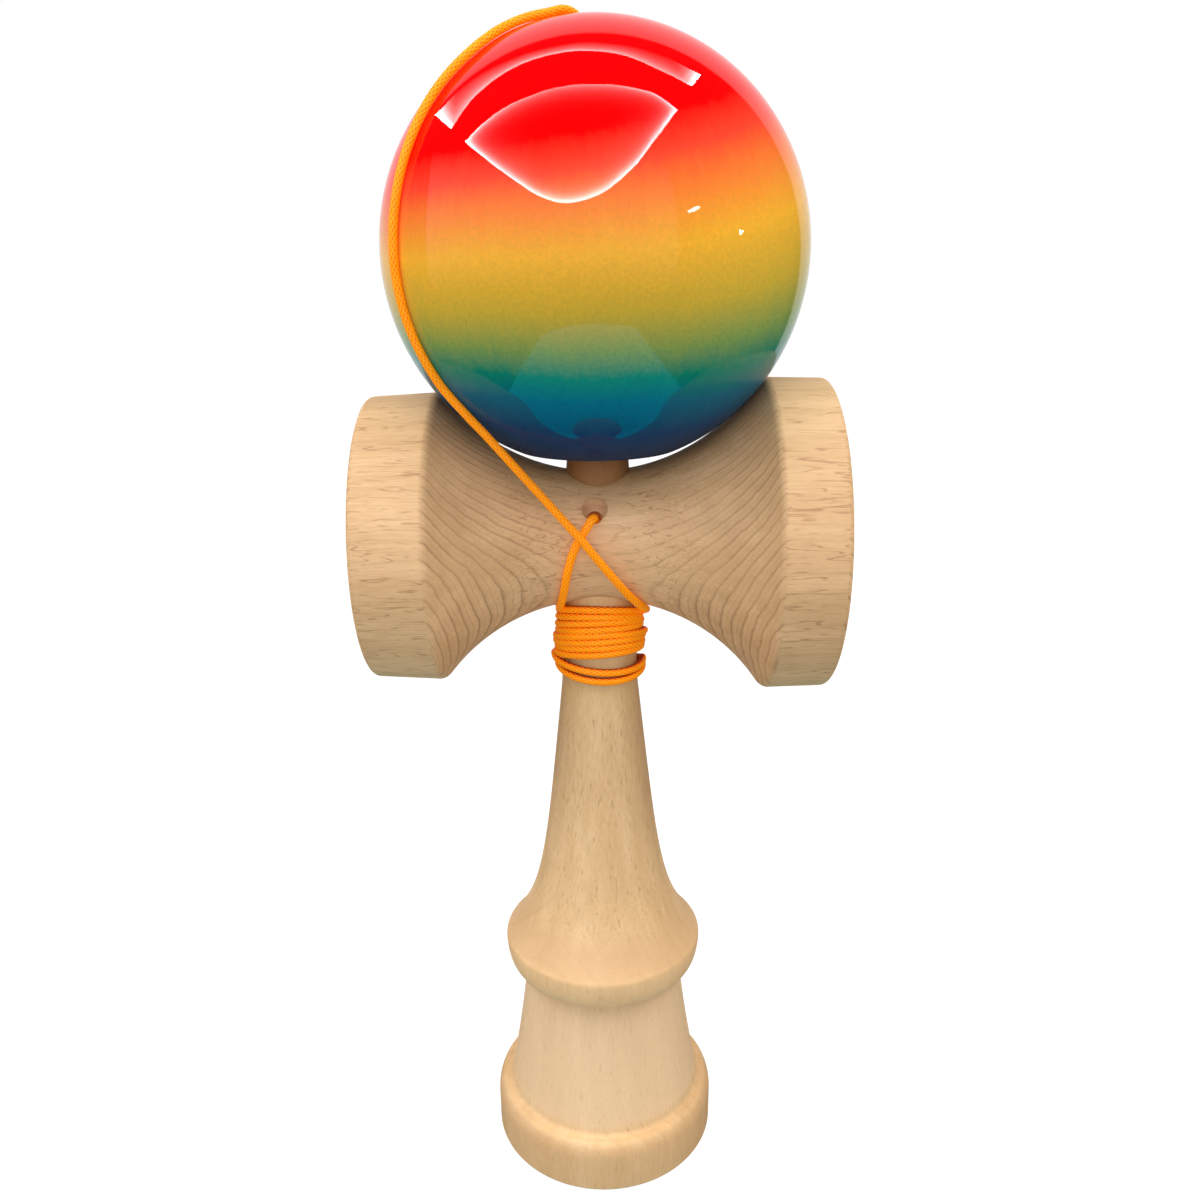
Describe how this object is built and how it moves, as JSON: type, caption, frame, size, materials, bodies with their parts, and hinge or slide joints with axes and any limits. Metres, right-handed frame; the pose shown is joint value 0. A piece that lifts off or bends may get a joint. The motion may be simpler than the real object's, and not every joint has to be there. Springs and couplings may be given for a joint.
{
  "type": "kendama",
  "caption": "Wooden kendama: turned handle with base cup and spike, crosspiece with a big and a small cup, and a glossy gradient ball on the spike, with its string wound round the neck.",
  "frame": {"origin": "centre of the base cup's rim, on the surface that the handle stands on", "axes": "+Z along the handle towards the spike and the ball, +X along the crosspiece towards the big cup, -Y towards the side that the string crosses"},
  "size_m": [0.069, 0.061, 0.1839],
  "materials": {
    "handle_wood": "bare sanded beech, grain along the handle",
    "cross_wood": "bare sanded beech, grain along the crosspiece",
    "ball_lacquer": "clear gloss lacquer over a fade from red through yellow and green to dark blue",
    "bead_wood": "waxed",
    "string": "orange braided cord"
  },
  "bodies": {
    "handle": {"ken": "handle_wood", "sarado": "cross_wood", "string_anchor_loop": "string", "string_lead": "string", "string_winding": "string", "string_rise": "string"},
    "bead": {"tama_bead": "bead_wood", "string_crown": "string", "string_end_knot": "string"},
    "ball": {"tama": "ball_lacquer"}
  },
  "joints": [
    {"name": "tama_lift", "type": "slide", "parent": "handle", "child": "bead", "axis": [0, 0, 1], "range_m": [0, 0.045]},
    {"name": "tama_spin", "type": "hinge", "parent": "bead", "child": "ball", "pos_m": [0, 0, 0.1523], "axis": [0, 0, 1], "continuous": true}
  ]
}
